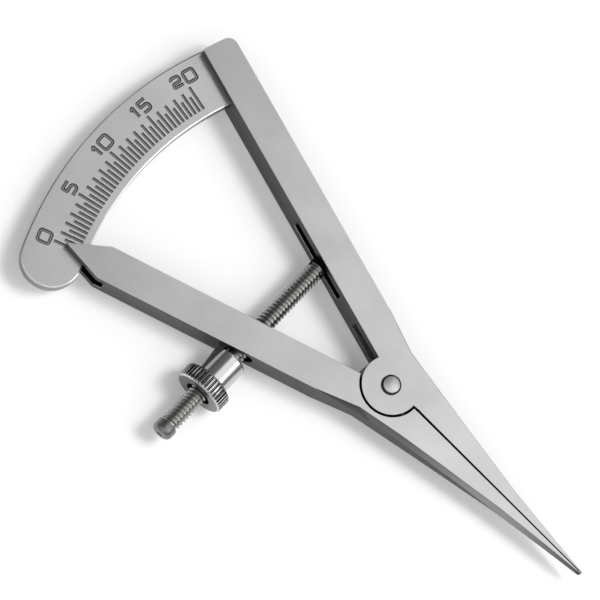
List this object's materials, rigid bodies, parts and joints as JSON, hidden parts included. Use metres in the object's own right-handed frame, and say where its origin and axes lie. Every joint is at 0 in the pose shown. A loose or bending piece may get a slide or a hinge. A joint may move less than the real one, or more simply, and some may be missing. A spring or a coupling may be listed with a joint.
{
  "type": "surgical caliper",
  "caption": "Lever caliper with two hinged arms, slender closed tips, a curved graduated plate and a knurled nut on a swivelling screw that opens the tips.",
  "frame": {"origin": "centre of the pivot, halfway through the thickness of the arms", "axes": "+X from the pivot towards the closed tips, +Z out of the face that carries the scale, +Y towards the scale arm's side"},
  "size_m": [0.0833, 0.0441, 0.0068],
  "materials": {
    "arm_steel": "satin",
    "plate_steel": "satin",
    "pin_steel": "polished",
    "spindle_steel": "turned",
    "nut_steel": "polished and knurled"
  },
  "bodies": {
    "scale_arm": {"scale_arm": "arm_steel", "scale_plate": "plate_steel", "scale_plate_pins": "pin_steel", "pivot_rivet": "pin_steel", "spindle_pin": "pin_steel"},
    "pointer_arm": {"pointer_arm": "arm_steel"},
    "spindle": {"threaded_spindle": "spindle_steel", "spindle_end_stop": "spindle_steel"},
    "thumb_nut": {"thumb_nut": "nut_steel"}
  },
  "joints": [
    {"name": "arm_hinge", "type": "hinge", "parent": "scale_arm", "child": "pointer_arm", "pos_m": [0, 0, 0], "axis": [0, 0, -1], "range_deg": [0, 34.52]},
    {"name": "spindle_swivel", "type": "hinge", "parent": "scale_arm", "child": "spindle", "pos_m": [-0.01683, 0.00814, 0], "axis": [0, 0, -1], "range_deg": [0, 17.3]},
    {"name": "nut_travel", "type": "slide", "parent": "spindle", "child": "thumb_nut", "axis": [0, 1, 0], "range_m": [0, 0.0116]}
  ],
  "couplings": [
    {"joint": "spindle_swivel", "follows": "arm_hinge", "ratio": 0.5},
    {"joint": "nut_travel", "follows": "arm_hinge", "m_per_rad": 0.01918}
  ]
}
